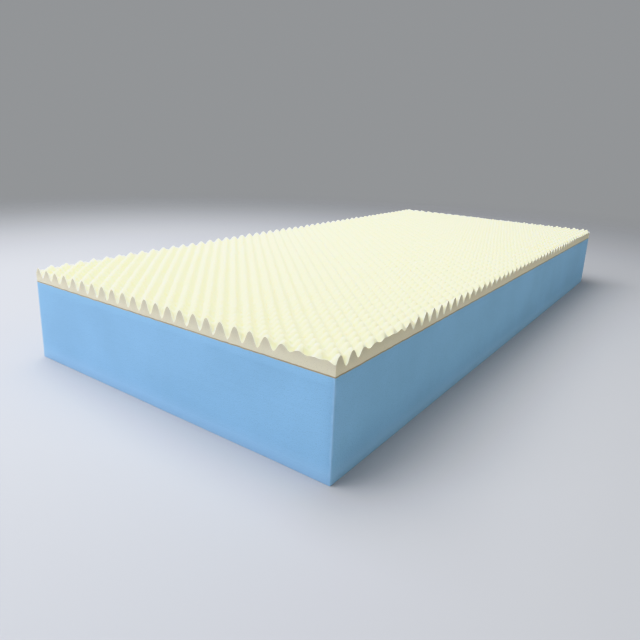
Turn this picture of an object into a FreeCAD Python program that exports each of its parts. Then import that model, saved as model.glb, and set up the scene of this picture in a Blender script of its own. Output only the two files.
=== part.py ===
"""A bare two-layer foam mattress: a deep core block with a convoluted topper glued on it.

Millimetres, +Z up. X runs across the mattress and Y along it. The origin is the middle of the
underside, where the mattress lies on its bed base.
"""
import FreeCAD, Part
import os

# Driving dimensions.
LENGTH = 2000.0             # along Y, the length of a standard single
WIDTH = 900.0               # along X
CORE_HEIGHT = 200.0         # the cut block of core foam
GLUE_THICKNESS = 0.4        # the sprayed adhesive once it has dried and been pressed
TOPPER_HEIGHT = 38.0        # the convoluted sheet, from its flat back to its peaks

# Heights of the two joints between the layers.
GLUE_BOTTOM = CORE_HEIGHT
TOPPER_BOTTOM = GLUE_BOTTOM + GLUE_THICKNESS


def layer(bottom, height):
    """One full-size layer of the mattress, cut square on all four sides."""
    corner = FreeCAD.Vector(-WIDTH / 2, -LENGTH / 2, bottom)
    return Part.makeBox(WIDTH, LENGTH, height, corner)


def foam_core():
    """The deep block that carries the sleeper: one piece of foam with plain cut faces."""
    return layer(0.0, CORE_HEIGHT)


def glue_layer():
    """The adhesive film over the whole joint, closed in between the two foams."""
    return layer(GLUE_BOTTOM, GLUE_THICKNESS)


def convoluted_topper():
    """The topper's envelope: its flat back is on the glue and its peaks end in the top face.

    The waves between the peaks are soft surface shape inside this envelope.
    """
    return layer(TOPPER_BOTTOM, TOPPER_HEIGHT)


NODES = {
    "foam_core": foam_core,
    "glue_layer": glue_layer,
    "convoluted_topper": convoluted_topper,
}


def main():
    os.makedirs("parts", exist_ok=True)
    for name, make in NODES.items():
        shape = make()
        shape.exportStep(f"parts/{name}.step")
        box = shape.BoundBox
        print(f"{name}: {box.XLength:.1f} x {box.YLength:.1f} x {box.ZLength:.1f} mm")


main()
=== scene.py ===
"""Looks of a bare two-layer foam mattress, built around its packed CAD frame.

The file is laid out as a Blender add-on and is run as a script. Each piece has an operator, which
models it at the size and place of its CAD node: metres, +Z up, X across and Y along the mattress.
"""
import math

import bpy
from bpy.props import FloatProperty, FloatVectorProperty, IntProperty, PointerProperty
from mathutils import Matrix, Vector, noise


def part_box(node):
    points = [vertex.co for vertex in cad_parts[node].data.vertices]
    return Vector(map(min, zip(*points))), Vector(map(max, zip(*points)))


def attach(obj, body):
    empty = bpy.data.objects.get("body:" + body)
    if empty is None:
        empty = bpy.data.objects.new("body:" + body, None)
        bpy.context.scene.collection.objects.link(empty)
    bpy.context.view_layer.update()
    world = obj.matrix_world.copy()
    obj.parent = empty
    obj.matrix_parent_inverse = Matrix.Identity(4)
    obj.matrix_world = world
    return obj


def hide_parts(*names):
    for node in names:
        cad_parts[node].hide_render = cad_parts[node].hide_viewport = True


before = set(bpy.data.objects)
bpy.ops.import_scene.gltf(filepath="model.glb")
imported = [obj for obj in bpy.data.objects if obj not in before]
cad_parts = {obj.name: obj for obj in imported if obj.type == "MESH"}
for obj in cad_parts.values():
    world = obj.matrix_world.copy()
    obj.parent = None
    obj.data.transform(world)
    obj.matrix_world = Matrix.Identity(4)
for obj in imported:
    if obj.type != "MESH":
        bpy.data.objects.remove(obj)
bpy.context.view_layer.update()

bl_info = {
    "name": "Bare foam mattress",
    "version": (1, 0, 0),
    "blender": (4, 5, 0),
    "location": "3D View > Sidebar > Mattress",
    "description": "Models a cut foam core, its glue line and a convoluted foam topper",
    "category": "Add Mesh",
}

MM = 0.001

# Without a seed of its own, noise_vector would differ each time that Blender starts.
SEED = 7
noise.seed_set(SEED)

# How near a vertex has to be to a side of a box to lie on it.
TOUCH = 0.05 * MM

# Open-cell foam reflects like chalk: rough all over, with next to no gloss.
MATT_FOAM = {"Roughness": 0.95, "IOR": 1.45, "Specular IOR Level": 0.15}

# The colour sockets of a Mix node, by number, because its other kinds of socket have the same names.
MIX_FROM = 6
MIX_TO = 7
MIX_RESULT = 2


def linear(colour):
    """An sRGB hex colour, such as 8CBDE8, as linear red, green and blue."""
    channels = [int(colour[i:i + 2], 16) / 255 for i in (0, 2, 4)]
    return tuple(c / 12.92 if c <= 0.04045 else ((c + 0.055) / 1.055) ** 2.4 for c in channels)


# ---------------------------------------------------------------- settings

class CoreSettings(bpy.types.PropertyGroup):
    """The cut block of core foam."""

    grid: FloatProperty(
        name="Grid", description="Size of the faces that the block is divided into",
        default=20 * MM, min=5 * MM, unit="LENGTH")
    edge: FloatProperty(
        name="Edge softness", description="How far a cut edge of the foam rounds over",
        default=0.8 * MM, min=0.2 * MM, unit="LENGTH")
    colour: FloatVectorProperty(
        name="Foam colour", description="Colour of the core foam",
        subtype="COLOR", size=3, min=0, max=1, default=linear("9CCDF4"))
    # Painted light: the pale edge colour is a painted highlight on the upright corners and painted light
    # reflected from the floor along the lower edge.
    edge_light_colour: FloatVectorProperty(
        name="Rubbed colour", description="Colour of the core foam where its edges are rubbed",
        subtype="COLOR", size=3, min=0, max=1, default=linear("A9D5FA"))
    # Width of the painted highlight on either side of an upright corner.
    corner_highlight: FloatProperty(
        name="Corner rub", description="How far the rub reaches on either side of an upright corner",
        default=6 * MM, min=1 * MM, unit="LENGTH")
    # Height of the painted floor light above the lower edge.
    lower_floor_light: FloatProperty(
        name="Lower rub", description="How far the rub reaches up from the lower edge",
        default=45 * MM, min=1 * MM, unit="LENGTH")


class GlueSettings(bpy.types.PropertyGroup):
    """The film of adhesive between the two foams."""

    grid: FloatProperty(
        name="Grid", description="Size of the faces that the film is divided into",
        default=20 * MM, min=5 * MM, unit="LENGTH")
    set_in: FloatProperty(
        name="Set in", description="How far the film stops short of the cut faces",
        default=0.6 * MM, min=0.0, unit="LENGTH")
    colour: FloatVectorProperty(
        name="Adhesive colour", description="Colour of the dried adhesive",
        subtype="COLOR", size=3, min=0, max=1, default=linear("C4AE88"))


class TopperSettings(bpy.types.PropertyGroup):
    """The convoluted sheet."""

    pitch_across: FloatProperty(
        name="Pitch across", description="Distance between peaks of one row",
        default=36.8 * MM, min=10 * MM, unit="LENGTH")
    pitch_along: FloatProperty(
        name="Pitch along", description="Distance between peaks of one column",
        default=37.75 * MM, min=10 * MM, unit="LENGTH")
    floor: FloatProperty(
        name="Floor", description="Thickness of the foam left under the valleys",
        default=6 * MM, min=1 * MM, unit="LENGTH")
    steps: IntProperty(
        name="Steps", description="Faces along one pitch of the wave",
        default=8, min=4, max=16)
    sharpness: FloatProperty(
        name="Sharpness", description="Above 0, the peaks are narrower than the valleys; below, broader",
        default=-0.2, min=-0.24, max=0.24)
    unevenness: FloatProperty(
        name="Unevenness", description="How much the height of the waves varies, as a share of it",
        default=0.06, min=0.0, max=0.5)
    colour: FloatVectorProperty(
        name="Foam colour", description="Colour of the topper foam at its peaks",
        subtype="COLOR", size=3, min=0, max=1, default=linear("F7F9DC"))
    # Painted light: the valley colour is painted paler, to offset the yellow light caught between the
    # waves.
    valley_painted_light_colour: FloatVectorProperty(
        name="Valley colour", description="Colour of the topper foam down in its valleys",
        subtype="COLOR", size=3, min=0, max=1, default=linear("F7F8E5"))
    # Painted shade: the cut colour is a darker, tan copy of the foam colour for the upright cut faces.
    cut_shade_colour: FloatVectorProperty(
        name="Cut colour", description="Colour of the topper foam on its knife-cut sides",
        subtype="COLOR", size=3, min=0, max=1, default=linear("F0E9D0"))
    edge: FloatProperty(
        name="Edge softness", description="How far the lower edge of a cut side rounds over",
        default=0.7 * MM, min=0.2 * MM, unit="LENGTH")


class StageSettings(bpy.types.PropertyGroup):
    """The floor, the lights and the camera."""

    floor_colour: FloatVectorProperty(
        name="Floor colour", description="Colour of the plain floor",
        subtype="COLOR", size=3, min=0, max=1, default=linear("BCBEC4"))
    overhead: FloatProperty(
        name="Overhead light", description="Power of the large light above",
        default=140, min=0, unit="POWER")
    side: FloatProperty(
        name="Side light", description="Power of the light that faces the foot end",
        default=45, min=0, unit="POWER")
    fill: FloatProperty(
        name="Fill light", description="Power of the weak light that faces the right side",
        default=13, min=0, unit="POWER")
    surround: FloatProperty(
        name="Surround", description="Strength of the even light from all sides",
        default=0.35, min=0)


SETTINGS = {
    "mattress_core": CoreSettings,
    "mattress_glue": GlueSettings,
    "mattress_topper": TopperSettings,
    "mattress_stage": StageSettings,
}


# ---------------------------------------------------------------- modelling helpers

def start_piece(name):
    """Names the primitive that was just added, which is still the only one selected."""
    piece = bpy.context.object
    piece.name = name
    piece.data.name = name
    return piece


def clear_selection():
    """Deselects everything, so that an operator acts only on what comes next."""
    if bpy.context.object and bpy.context.object.mode != "OBJECT":
        bpy.ops.object.mode_set(mode="OBJECT")
    bpy.ops.object.select_all(action="DESELECT")


def select_where(piece, kind, test):
    """In edit mode, selects only the vertices, edges or faces of the piece that pass the test."""
    bpy.ops.mesh.select_mode(type=kind)
    bpy.ops.mesh.select_all(action="DESELECT")
    bpy.ops.object.mode_set(mode="OBJECT")
    mesh = piece.data
    items = {"VERT": mesh.vertices, "EDGE": mesh.edges, "FACE": mesh.polygons}[kind]
    for item in items:
        item.select = test(mesh, item)
    bpy.ops.object.mode_set(mode="EDIT")


def along(mesh, edge, tests):
    """True if both ends of the edge pass at least two of the tests, as on an edge of a box."""
    ends = [mesh.vertices[i].co for i in edge.vertices]
    return sum(all(test(end) for end in ends) for test in tests) >= 2


def box_sides(low, high):
    """A test for each side of a box, true for a point on it: the low x, y and z sides, then the high."""
    return [
        lambda p, axis=axis, place=corner[axis]: abs(p[axis] - place) < TOUCH
        for corner in (low, high)
        for axis in range(3)
    ]


def move_points(piece, mover):
    """Puts each vertex of the piece where mover says."""
    for vertex in piece.data.vertices:
        vertex.co = mover(vertex.co)
    piece.data.update()


# The block knife's slow sway, and the flutter on top of it: how often each comes round in a metre,
# sideways and upwards, where in the noise it starts, and how far it goes.
KNIFE_WAVES = [
    (3.1, 2.0, 0.0, 0.9 * MM),
    (14.0, 9.0, 7.0, 0.35 * MM),
]


def knife_wander(point):
    """How far the block knife strays sideways at a point of a cut face: up to about 0.7 mm."""
    shift = Vector((0.0, 0.0, 0.0))
    for sideways, upwards, start, reach in KNIFE_WAVES:
        place = Vector((point.x * sideways + start, point.y * sideways, point.z * upwards))
        shift += noise.noise_vector(place) * reach
    return Vector((shift.x, shift.y, 0.0))


def hand_over(piece, node, slot, *materials):
    """Gives the finished piece its materials and its part in the frame."""
    for material in materials:
        piece.data.materials.append(material)
    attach(piece, "root")
    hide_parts(node)


# ---------------------------------------------------------------- materials

def add_node(tree, kind, settings=None, inputs=None):
    """Adds a node with its settings. An input is given a value, or the socket that feeds it."""
    node = tree.nodes.new(kind)
    for name, value in (settings or {}).items():
        setattr(node, name, value)
    for name, value in (inputs or {}).items():
        if isinstance(value, bpy.types.NodeSocket):
            tree.links.new(value, node.inputs[name])
        else:
            node.inputs[name].default_value = value
    return node


def new_material(name):
    """An empty node material, and its tree and Object coordinates."""
    material = bpy.data.materials.new(name)
    material.use_nodes = True
    tree = material.node_tree
    tree.nodes.clear()
    places = add_node(tree, "ShaderNodeTexCoord").outputs["Object"]
    return material, tree, places


def ramp(tree, factor, low, high, from_colour, to_colour):
    """A colour that goes smoothly from one to the other as the factor goes from low to high."""
    share = add_node(tree, "ShaderNodeMapRange", {"interpolation_type": "SMOOTHSTEP"},
                     {"Value": factor, "From Min": low, "From Max": high})
    mix = add_node(tree, "ShaderNodeMix", {"data_type": "RGBA"}, {"Factor": share.outputs["Result"]})
    for slot, colour in ((MIX_FROM, from_colour), (MIX_TO, to_colour)):
        if isinstance(colour, bpy.types.NodeSocket):
            tree.links.new(colour, mix.inputs[slot])
        else:
            mix.inputs[slot].default_value = (*colour, 1)
    return mix.outputs[MIX_RESULT]


def tinted(colour, share):
    """The colour made darker or lighter by a share of itself."""
    return tuple(min(1.0, c * share) for c in colour)


def open_cells(tree, places, cell, depth):
    """Bump of the foam's burst cells, and the pattern's own value for tinting the pores."""
    cells = add_node(tree, "ShaderNodeTexVoronoi", {"feature": "F1"},
                     {"Vector": places, "Scale": 1 / cell, "Randomness": 1.0})
    grain = add_node(tree, "ShaderNodeTexNoise", {}, {"Vector": places, "Scale": 1 / (3.2 * cell),
                                                     "Detail": 3.0, "Roughness": 0.65})
    height = add_node(tree, "ShaderNodeMath", {"operation": "ADD"},
                      {0: cells.outputs["Distance"], 1: grain.outputs["Fac"]})
    bump = add_node(tree, "ShaderNodeBump", {}, {"Strength": 0.55, "Distance": depth,
                                                "Height": height.outputs[0]})
    return bump, cells.outputs["Distance"]


def glue_stain(tree, places, joint, reach, body, stain):
    """The body colour, going over to the stain where adhesive soaked in beside the joint."""
    height = add_node(tree, "ShaderNodeSeparateXYZ", {}, {0: places}).outputs["Z"]
    # The adhesive creeps unevenly, in patches about 22 mm long.
    creep = add_node(tree, "ShaderNodeTexNoise", {}, {"Vector": places, "Scale": 45.0, "Detail": 3.0})
    ragged = add_node(tree, "ShaderNodeMath", {"operation": "MULTIPLY_ADD"},
                      {0: creep.outputs["Fac"], 1: 2.4 * reach, 2: height})
    # Noise is about 0.5 on average, so the ragged height sits 1.2 times the reach above the real one.
    away = add_node(tree, "ShaderNodeMath", {"operation": "SUBTRACT"},
                    {0: ragged.outputs[0], 1: joint + 1.2 * reach})
    distance = add_node(tree, "ShaderNodeMath", {"operation": "ABSOLUTE"}, {0: away.outputs[0]})
    return ramp(tree, distance.outputs[0], 0.2 * reach, 1.6 * reach, stain, body)


def paint_edge_light(tree, places, low, high, settings, body):
    """The body colour, going over to a pale one along the upright corners and the lower edge: a painted
    highlight on the corners, and painted light reflected from the floor along the lower edge.
    """
    edge_light_colour = tuple(settings.edge_light_colour)
    axes = add_node(tree, "ShaderNodeSeparateXYZ", {}, {0: places})
    insets = []
    for axis, edge in (("X", high.x), ("Y", high.y)):
        out = add_node(tree, "ShaderNodeMath", {"operation": "ABSOLUTE"}, {0: axes.outputs[axis]})
        inset = add_node(tree, "ShaderNodeMath", {"operation": "SUBTRACT"}, {0: edge, 1: out.outputs[0]})
        insets.append(inset.outputs[0])
    # On either side of an upright corner, the two insets add up to the distance from the corner.
    distance = add_node(tree, "ShaderNodeMath", {"operation": "ADD"}, {0: insets[0], 1: insets[1]})
    # The painted highlight comes in patches about 18 mm long. Noise is about 0.5 on average, so the
    # patched distance is about one reach more than the real one.
    highlight_patches = add_node(tree, "ShaderNodeTexNoise", {}, {"Vector": places, "Scale": 55.0, "Detail": 3.0})
    reach = settings.corner_highlight
    highlight_distance = add_node(tree, "ShaderNodeMath", {"operation": "MULTIPLY_ADD"},
                    {0: highlight_patches.outputs["Fac"], 1: 2 * reach, 2: distance.outputs[0]})
    # Painted highlight along the upright corners.
    corners = ramp(tree, highlight_distance.outputs[0], 1.2 * reach, 2 * reach, edge_light_colour, body)
    # Painted light reflected from the floor, paler towards the lower edge.
    return ramp(tree, axes.outputs["Z"], low.z, low.z + settings.lower_floor_light, edge_light_colour, corners)


def core_foam(settings, stain, low, high):
    """Block-cut flexible polyurethane foam: dead matt, with fine pores and level knife marks."""
    material, tree, places = new_material("block-cut flexible polyurethane foam")
    colour = tuple(settings.colour)
    # The real cells are under 1 mm; they are drawn at 2.4 mm, because finer ones vanish in a full view.
    bump, cells = open_cells(tree, places, 2.4 * MM, 0.5 * MM)
    # The band knife runs level round the block and leaves long, faint marks about 9 mm apart.
    stretched = add_node(tree, "ShaderNodeMapping", {}, {"Vector": places, "Scale": (1.2, 1.2, 110.0)})
    marks = add_node(tree, "ShaderNodeTexNoise", {}, {"Vector": stretched.outputs[0], "Scale": 1.0,
                                                     "Detail": 2.0})
    cut = add_node(tree, "ShaderNodeBump", {}, {"Strength": 0.35, "Distance": 0.8 * MM,
                                               "Height": marks.outputs["Fac"],
                                               "Normal": bump.outputs[0]})
    # Clouds of density about 200 mm wide from the foaming, dark pores, the painted highlight and painted
    # floor light along the edges, and the glue's stain.
    clouds = add_node(tree, "ShaderNodeTexNoise", {}, {"Vector": places, "Scale": 5.0, "Detail": 4.0})
    body = ramp(tree, clouds.outputs["Fac"], 0.3, 0.7, tinted(colour, 0.95), tinted(colour, 1.04))
    pored = ramp(tree, cells, 0.05, 0.35, tinted(colour, 0.80), body)
    # Painted highlight on the corners and painted floor light along the lower edge.
    edge_lit = paint_edge_light(tree, places, low, high, settings, pored)
    soaked = glue_stain(tree, places, high.z, 1.0 * MM, edge_lit, stain)
    shader = add_node(tree, "ShaderNodeBsdfPrincipled", {}, {
        **MATT_FOAM, "Base Color": soaked, "Sheen Weight": 0.12, "Sheen Roughness": 0.6,
        "Normal": cut.outputs[0]})
    finish(tree, shader)
    return material


def topper_foam(colour, valley_painted_light_colour, floor_level, peak_level):
    """Convoluted viscoelastic foam with fine open cells: matt, pale and soft to the light."""
    material, tree, places = new_material("convoluted viscoelastic foam")
    # Its cells are finer than the core's, and are drawn at 1.8 mm for the same reason.
    bump, cells = open_cells(tree, places, 1.8 * MM, 0.35 * MM)
    height = add_node(tree, "ShaderNodeSeparateXYZ", {}, {0: places}).outputs["Z"]
    # Light that is caught between the waves turns yellower; the valleys are painted less yellow to
    # offset it, so this ramp by height is painted light, not a colour of the foam.
    body = ramp(tree, height, floor_level, peak_level, valley_painted_light_colour, colour)
    pored = ramp(tree, cells, 0.05, 0.30, tinted(valley_painted_light_colour, 0.86), body)
    # Light soaks into the pale foam and comes out again a few millimetres off, which softens the waves.
    shader = add_node(tree, "ShaderNodeBsdfPrincipled", {}, {
        **MATT_FOAM, "Base Color": pored, "Subsurface Weight": 1.0,
        "Subsurface Radius": (1.0, 0.95, 0.8), "Subsurface Scale": 9 * MM,
        "Sheen Weight": 0.15, "Sheen Roughness": 0.5, "Normal": bump.outputs[0]})
    finish(tree, shader)
    return material


def shaded_cut_topper_foam(colour, stain, joint):
    """The same foam on its upright knife-cut sides, painted duller and tan as shade where less light
    reaches these faces.
    """
    material, tree, places = new_material("knife-cut viscoelastic foam with painted shade")
    bump, cells = open_cells(tree, places, 1.8 * MM, 0.5 * MM)
    height = add_node(tree, "ShaderNodeSeparateXYZ", {}, {0: places}).outputs["Z"]
    # Painted shade: the thin tips of the cut waves are painted a little darker than the full foam below
    # them.
    body = ramp(tree, height, joint + 6 * MM, joint + 30 * MM, colour, tinted(colour, 0.86))
    pored = ramp(tree, cells, 0.05, 0.35, tinted(colour, 0.78), body)
    soaked = glue_stain(tree, places, joint, 1.2 * MM, pored, stain)
    shader = add_node(tree, "ShaderNodeBsdfPrincipled", {}, {
        **MATT_FOAM, "Base Color": soaked, "Subsurface Weight": 0.3,
        "Subsurface Radius": (1.0, 0.95, 0.75), "Subsurface Scale": 4 * MM, "Normal": bump.outputs[0]})
    finish(tree, shader)
    return material


def dried_adhesive(colour):
    """Sprayed contact adhesive once dry: a thin amber skin with a dull gloss, lumpy where it webbed."""
    material, tree, places = new_material("dried sprayed contact adhesive")
    # The drops of the spray ran together into lumps of 5 to 6 mm.
    lumps = add_node(tree, "ShaderNodeTexNoise", {}, {"Vector": places, "Scale": 180.0, "Detail": 3.0})
    tone = ramp(tree, lumps.outputs["Fac"], 0.3, 0.7, tinted(colour, 0.7), colour)
    bump = add_node(tree, "ShaderNodeBump", {}, {"Strength": 0.4, "Distance": 0.4 * MM,
                                                "Height": lumps.outputs["Fac"]})
    shader = add_node(tree, "ShaderNodeBsdfPrincipled", {}, {
        "Base Color": tone, "Roughness": 0.55, "IOR": 1.48, "Normal": bump.outputs[0]})
    finish(tree, shader)
    return material


def finish(tree, shader):
    """Sends the shader to the material's output."""
    add_node(tree, "ShaderNodeOutputMaterial", {}, {"Surface": shader.outputs[0]})


# ---------------------------------------------------------------- the pieces

class MATTRESS_OT_core(bpy.types.Operator):
    """Models the core: one deep block of foam with plain knife-cut faces"""

    bl_idname = "mattress.core"
    bl_label = "Foam core"

    def execute(self, context):
        settings = context.scene.mattress_core
        low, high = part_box("foam_core")
        size = high - low
        clear_selection()
        across, deep, rows = (max(1, round(s / settings.grid)) for s in (size.x, size.z, size.y))
        bpy.ops.mesh.primitive_grid_add(x_subdivisions=across, y_subdivisions=rows, size=1,
                                        location=(0, 0, low.z))
        core = start_piece("foam_core_block")
        core.scale = (size.x, size.y, 1)
        bpy.ops.object.transform_apply(location=True, rotation=True, scale=True)
        bpy.ops.object.mode_set(mode="EDIT")
        bpy.ops.mesh.select_all(action="SELECT")
        for _ in range(deep):
            bpy.ops.mesh.extrude_region_move(TRANSFORM_OT_translate={"value": (0, 0, size.z / deep)})
        bpy.ops.mesh.select_all(action="SELECT")
        bpy.ops.mesh.normals_make_consistent(inside=False)
        sides = box_sides(low, high)
        select_where(core, "EDGE", lambda mesh, edge: along(mesh, edge, sides))
        bpy.ops.mesh.bevel(offset=settings.edge, segments=2, affect="EDGES")
        bpy.ops.object.mode_set(mode="OBJECT")
        move_points(core, lambda p: p + knife_wander(p))
        bpy.ops.object.shade_smooth()
        stain = tuple(context.scene.mattress_glue.colour)
        hand_over(core, "foam_core", "core_foam", core_foam(settings, stain, low, high))
        return {"FINISHED"}


class MATTRESS_OT_glue(bpy.types.Operator):
    """Models the adhesive film, whose edge shows as a thin dark line between the two foams"""

    bl_idname = "mattress.glue"
    bl_label = "Glue layer"

    def execute(self, context):
        settings = context.scene.mattress_glue
        low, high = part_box("glue_layer")
        size = high - low
        clear_selection()
        across, rows = (max(1, round(s / settings.grid)) for s in (size.x, size.y))
        bpy.ops.mesh.primitive_grid_add(x_subdivisions=across, y_subdivisions=rows, size=1,
                                        location=(0, 0, low.z))
        glue = start_piece("glue_film")
        glue.scale = (size.x - 2 * settings.set_in, size.y - 2 * settings.set_in, 1)
        bpy.ops.object.transform_apply(location=True, rotation=True, scale=True)
        bpy.ops.object.mode_set(mode="EDIT")
        bpy.ops.mesh.select_all(action="SELECT")
        bpy.ops.mesh.extrude_region_move(TRANSFORM_OT_translate={"value": (0, 0, size.z)})
        bpy.ops.mesh.select_all(action="SELECT")
        bpy.ops.mesh.normals_make_consistent(inside=False)
        bpy.ops.object.mode_set(mode="OBJECT")
        # The sprayed film's edge strays less than a knife does, and in shorter waves.
        move_points(glue, lambda p: p + 0.6 * knife_wander(4 * p))
        hand_over(glue, "glue_layer", "foam_adhesive", dried_adhesive(tuple(settings.colour)))
        return {"FINISHED"}


# The first peak's place from the near right corner of the sheet, across and along.
FIRST_PEAK = Vector((-1 * MM, -1 * MM))

# Each wave strays from its row and settles by itself: how far it strays, how far it settles on average
# as a share of the unevenness, and how often each of the two changes in a metre.
STRAY = 1.2 * MM
MEAN_SETTLE = 0.35
STRAY_RATE = 22
SETTLE_RATE = 26

# Where the soft sheet was pulled off its straight rows as it was laid: the place as shares of the
# half width and half length, how far the pull reaches, and how far it moves the foam.
PULLS = [
    ((1.0, -1.00), 140 * MM, (0, 10 * MM)),
    ((1.0, -0.92), 70 * MM, (-3 * MM, 0)),
    ((1.0, -0.75), 200 * MM, (0, 9 * MM)),
    ((1.0, -0.62), 230 * MM, (-16 * MM, 0)),
    ((1.0, -0.30), 350 * MM, (0, 10 * MM)),
    ((1.0, -0.18), 300 * MM, (-9 * MM, 0)),
    ((1.0, 0.45), 330 * MM, (-10 * MM, 0)),
    ((1.0, 0.45), 550 * MM, (-3 * MM, 22 * MM)),
    ((1.0, 0.95), 150 * MM, (-3 * MM, 0)),
    ((-1.0, -0.15), 650 * MM, (-8 * MM, 12 * MM)),
    ((-1.0, -1.00), 180 * MM, (-4 * MM, -5 * MM)),
    ((0.0, 1.00), 500 * MM, (-5 * MM, 0)),
]


class MATTRESS_OT_topper(bpy.types.Operator):
    """Models the convoluted sheet: one wave is shaped, repeated, laid out, cut square and closed"""

    bl_idname = "mattress.topper"
    bl_label = "Convoluted topper"

    def execute(self, context):
        settings = context.scene.mattress_topper
        self.settings = settings
        self.low, self.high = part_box("convoluted_topper")
        topper = self.shape_wave()
        self.repeat(topper)
        move_points(topper, self.lay)
        self.cut_square()
        self.close(topper)
        self.paint_sides(topper)
        stain = tuple(context.scene.mattress_glue.colour)
        hand_over(topper, "convoluted_topper", "topper_foam",
                  topper_foam(tuple(settings.colour), tuple(settings.valley_painted_light_colour),
                              self.low.z + settings.floor, self.high.z),
                  # The second material paints shade on the upright cut sides.
                  shaded_cut_topper_foam(tuple(settings.cut_shade_colour), stain, self.low.z))
        return {"FINISHED"}

    def wave(self, x, y):
        """Height of the wave from 0 in a valley to 1 on a peak; the peaks stand in staggered rows."""
        settings = self.settings
        turn = 2 * math.pi
        level = math.cos(turn * x / settings.pitch_across) * math.cos(turn * y / settings.pitch_along)
        level += settings.sharpness * (level * level - 1)
        return (level + 1) / 2

    def shape_wave(self):
        """One repeat of the wave: a peak in the middle and a quarter of a peak at each corner."""
        settings = self.settings
        clear_selection()
        bpy.ops.mesh.primitive_grid_add(x_subdivisions=settings.steps, y_subdivisions=settings.steps,
                                        size=1)
        topper = start_piece("convoluted_topper_sheet")
        topper.scale = (settings.pitch_across, settings.pitch_along, 1)
        bpy.ops.object.transform_apply(location=True, rotation=True, scale=True)
        move_points(topper, lambda p: Vector((p.x, p.y, self.wave(p.x, p.y))))
        return topper

    def repeat(self, topper):
        """Repeats the wave over more than the whole sheet and welds the repeats together."""
        settings = self.settings
        size = self.high - self.low
        spare = 2
        counts = (math.ceil(size.x / settings.pitch_across) + 2 * spare,
                  math.ceil(size.y / settings.pitch_along) + 2 * spare)
        offsets = ((settings.pitch_across, 0, 0), (0, settings.pitch_along, 0))
        for count, offset in zip(counts, offsets):
            rows = topper.modifiers.new("rows", "ARRAY")
            rows.count = count
            rows.use_relative_offset = False
            rows.use_constant_offset = True
            rows.constant_offset_displace = offset
            rows.use_merge_vertices = True
            rows.merge_threshold = 0.1 * MM
            bpy.ops.object.modifier_apply(modifier=rows.name)
        # One peak stands by the near right corner, and the spare repeats lie beyond it on both sides.
        first = Vector((self.high.x, self.low.y)) + FIRST_PEAK
        left = (counts[0] - 1 - spare) * settings.pitch_across
        below = spare * settings.pitch_along
        topper.data.transform(Matrix.Translation((first.x - left, first.y - below, 0)))

    def lay(self, point):
        """Where a point of the wave pattern comes to lie on the real, slightly uneven sheet."""
        settings = self.settings
        half = (self.high - self.low) / 2
        x, y = point.x, point.y
        for place, reach, shift in PULLS:
            away_squared = (point.x - place[0] * half.x) ** 2 + (point.y - place[1] * half.y) ** 2
            share = math.exp(-away_squared / reach ** 2)
            x += shift[0] * share
            y += shift[1] * share
        # Straying and settling each have their own level of the noise, so they don't go together.
        stray = noise.noise_vector(Vector((point.x * STRAY_RATE, point.y * STRAY_RATE, 3.7)))
        x += stray.x * STRAY
        y += stray.y * STRAY
        settle = noise.noise(Vector((point.x * SETTLE_RATE, point.y * SETTLE_RATE, 9.1))) - MEAN_SETTLE
        height = point.z * min(1.0, 1.0 + settings.unevenness * settle)
        valley = self.low.z + settings.floor
        return Vector((x, y, valley + (self.high.z - valley) * height))

    def cut_square(self):
        """Cuts the sheet along its four sides."""
        bpy.ops.object.mode_set(mode="EDIT")
        for corner, outwards in ((self.low, -1), (self.high, 1)):
            for axis in ((1, 0, 0), (0, 1, 0)):
                bpy.ops.mesh.select_all(action="SELECT")
                bpy.ops.mesh.bisect(plane_co=corner, plane_no=Vector(axis) * outwards,
                                    clear_outer=True, threshold=0.01 * MM)
        bpy.ops.object.mode_set(mode="OBJECT")

    def close(self, topper):
        """Draws the cut rim down to the flat back, closes the back and finishes the cut edges."""
        sides = box_sides(self.low, self.high)
        bpy.ops.object.mode_set(mode="EDIT")
        bpy.ops.mesh.select_mode(type="EDGE")
        bpy.ops.mesh.select_all(action="DESELECT")
        bpy.ops.mesh.select_non_manifold(extend=False, use_wire=False, use_boundary=True,
                                         use_multi_face=False, use_non_contiguous=False,
                                         use_verts=False)
        bpy.ops.mesh.mark_sharp()
        bpy.ops.mesh.extrude_edges_move(TRANSFORM_OT_translate={"value": (0, 0, 0)})
        bpy.ops.transform.resize(value=(1, 1, 0), center_override=(0, 0, self.low.z))
        bpy.ops.mesh.edge_face_add()
        bpy.ops.mesh.select_all(action="SELECT")
        bpy.ops.mesh.normals_make_consistent(inside=False)
        select_where(topper, "EDGE", lambda mesh, edge: along(mesh, edge, sides))
        bpy.ops.mesh.mark_sharp()
        on_back = sides[2]
        select_where(topper, "EDGE", lambda mesh, edge: along(mesh, edge, sides)
                     and all(on_back(mesh.vertices[i].co) for i in edge.vertices))
        bpy.ops.mesh.bevel(offset=self.settings.edge, segments=2, affect="EDGES")
        bpy.ops.object.mode_set(mode="OBJECT")
        move_points(topper, lambda p: p + knife_wander(p))
        bpy.ops.object.shade_smooth()

    def paint_sides(self, topper):
        """Gives the upright cut faces, and the rounded edge below them, the second material, which
        paints shade on them.
        """
        rim = 2 * MM
        for face in topper.data.polygons:
            # A cut face is upright to within 6 degrees and square to its side to within 18.
            outwards = face.normal
            cut = abs(outwards.z) < 0.1 and max(abs(outwards.x), abs(outwards.y)) > 0.95
            centre = face.center
            rounded = centre.z < self.low.z + self.settings.edge
            inset = min(self.high.x - abs(centre.x), self.high.y - abs(centre.y))
            face.material_index = 1 if (cut or rounded) and inset < rim else 0


# ---------------------------------------------------------------- the stage

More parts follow.
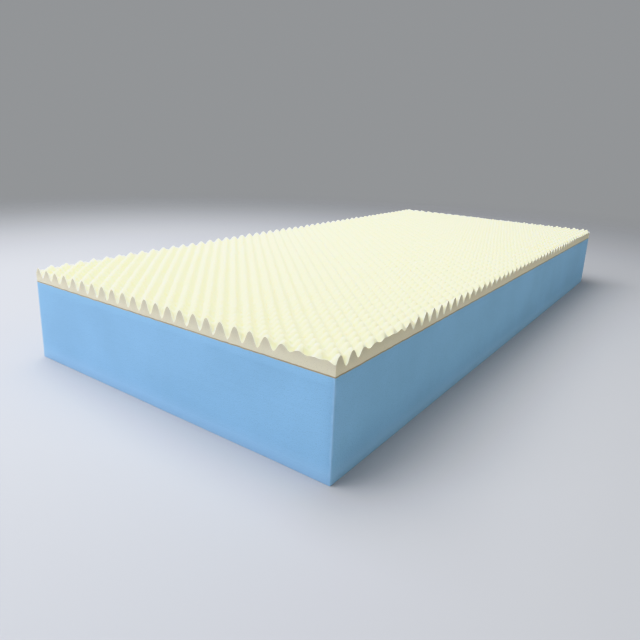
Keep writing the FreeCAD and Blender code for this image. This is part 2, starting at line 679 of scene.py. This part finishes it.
# The camera stands beyond the near right corner, low over the mattress, and looks along it.
CAMERA_PLACE = Vector((0.902, -1.697, 0.567))
CAMERA_AIM = Vector((0.149, -0.616, 0.2))
CAMERA_ROLL = math.radians(2.45)
CAMERA_SENSOR = 36.0        # mm
CAMERA_LENS = 31.44         # mm
CAMERA_SHIFT = (-0.003, -0.037)

# The floor's radius, and how far out it starts and ends its fade into the surround, in metres.
FLOOR_RADIUS = 7
FADE_START = 1.5
FADE_END = 4.5

# Colours of the light, in linear red, green and blue.
PALE_ROOM = (0.94, 0.97, 1.0)
DAYLIGHT = (1.0, 1.0, 1.0)
COOL = (0.93, 0.94, 1.0)
WARM = (1.0, 0.88, 0.5)


def add_light(name, size, place, aim, power, colour):
    """A square soft light that faces the aim. It lights the room and isn't seen itself."""
    light = bpy.data.lights.new(name, "AREA")
    light.color = colour
    light.shape = "SQUARE"
    light.size = size
    light.energy = power
    lamp = bpy.data.objects.new(name, light)
    lamp.location = place
    lamp.rotation_euler = (Vector(aim) - Vector(place)).to_track_quat("-Z", "Y").to_euler()
    lamp.visible_camera = False
    bpy.context.scene.collection.objects.link(lamp)


class MATTRESS_OT_stage(bpy.types.Operator):
    """Sets up the plain floor, the soft studio light and the camera"""

    bl_idname = "mattress.stage"
    bl_label = "Stage"

    def execute(self, context):
        scene = context.scene
        settings = scene.mattress_stage
        scene.view_settings.view_transform = "Khronos PBR Neutral"
        self.floor(settings)
        self.surround(scene, settings)
        add_light("overhead", size=3.2, place=(-1.1, -0.6, 3.1), aim=(0, 0, 0.2),
                  power=settings.overhead, colour=DAYLIGHT)
        add_light("side", size=2.0, place=(-1.4, -3.4, 2.0), aim=(0, -1.0, 0),
                  power=settings.side, colour=COOL)
        add_light("fill", size=2.0, place=(3.3, -0.3, 1.8), aim=(0.45, 0.1, 0),
                  power=settings.fill, colour=WARM)
        self.camera(scene)
        return {"FINISHED"}

    def floor(self, settings):
        """A round pale floor that fades into the surround far from the mattress."""
        clear_selection()
        bpy.ops.mesh.primitive_circle_add(vertices=96, radius=FLOOR_RADIUS, fill_type="NGON")
        floor = start_piece("floor")
        material, tree, places = new_material("plain painted floor")
        far = add_node(tree, "ShaderNodeVectorMath", {"operation": "LENGTH"}, {0: places})
        fade = add_node(tree, "ShaderNodeMapRange", {"interpolation_type": "SMOOTHSTEP"},
                        {"Value": far.outputs["Value"], "From Min": FADE_START, "From Max": FADE_END})
        paint = add_node(tree, "ShaderNodeBsdfPrincipled", {}, {
            "Base Color": (*settings.floor_colour, 1), "Roughness": 0.8})
        clear = add_node(tree, "ShaderNodeBsdfTransparent")
        mix = add_node(tree, "ShaderNodeMixShader", {}, {0: fade.outputs["Result"],
                                                        1: paint.outputs[0], 2: clear.outputs[0]})
        finish(tree, mix)
        floor.data.materials.append(material)

    def surround(self, scene, settings):
        """An even pale surround, as in a white room."""
        world = bpy.data.worlds.new("pale room")
        world.use_nodes = True
        shade = world.node_tree.nodes["Background"]
        shade.inputs["Color"].default_value = (*PALE_ROOM, 1)
        shade.inputs["Strength"].default_value = settings.surround
        scene.world = world

    def camera(self, scene):
        """The camera, with its roll about its own line of sight."""
        lens = bpy.data.cameras.new("camera")
        lens.sensor_width = CAMERA_SENSOR
        lens.lens = CAMERA_LENS
        lens.shift_x, lens.shift_y = CAMERA_SHIFT
        camera = bpy.data.objects.new("camera", lens)
        camera.location = CAMERA_PLACE
        turn = (CAMERA_AIM - CAMERA_PLACE).to_track_quat("-Z", "Y").to_matrix()
        turn = turn @ Matrix.Rotation(CAMERA_ROLL, 3, "Z")
        camera.rotation_euler = turn.to_euler()
        scene.collection.objects.link(camera)
        scene.camera = camera


# ---------------------------------------------------------------- the add-on

OPERATORS = [MATTRESS_OT_stage, MATTRESS_OT_core, MATTRESS_OT_glue, MATTRESS_OT_topper]


class MATTRESS_PT_pieces(bpy.types.Panel):
    """Lists the pieces of the mattress and their settings"""

    bl_label = "Foam mattress"
    bl_space_type = "VIEW_3D"
    bl_region_type = "UI"
    bl_category = "Mattress"

    def draw(self, context):
        for operator in OPERATORS:
            self.layout.operator(operator.bl_idname)
        for name, group in SETTINGS.items():
            box = self.layout.box()
            box.label(text=group.__doc__)
            for field in group.__annotations__:
                box.prop(getattr(context.scene, name), field)


def register():
    for group in SETTINGS.values():
        bpy.utils.register_class(group)
    for name, group in SETTINGS.items():
        setattr(bpy.types.Scene, name, PointerProperty(type=group))
    for operator in OPERATORS:
        bpy.utils.register_class(operator)
    bpy.utils.register_class(MATTRESS_PT_pieces)


def unregister():
    bpy.utils.unregister_class(MATTRESS_PT_pieces)
    for operator in reversed(OPERATORS):
        bpy.utils.unregister_class(operator)
    for name, group in SETTINGS.items():
        delattr(bpy.types.Scene, name)
        bpy.utils.unregister_class(group)


def main():
    register()
    bpy.ops.mattress.stage()
    bpy.ops.mattress.core()
    bpy.ops.mattress.glue()
    bpy.ops.mattress.topper()


if __name__ == "__main__":
    main()
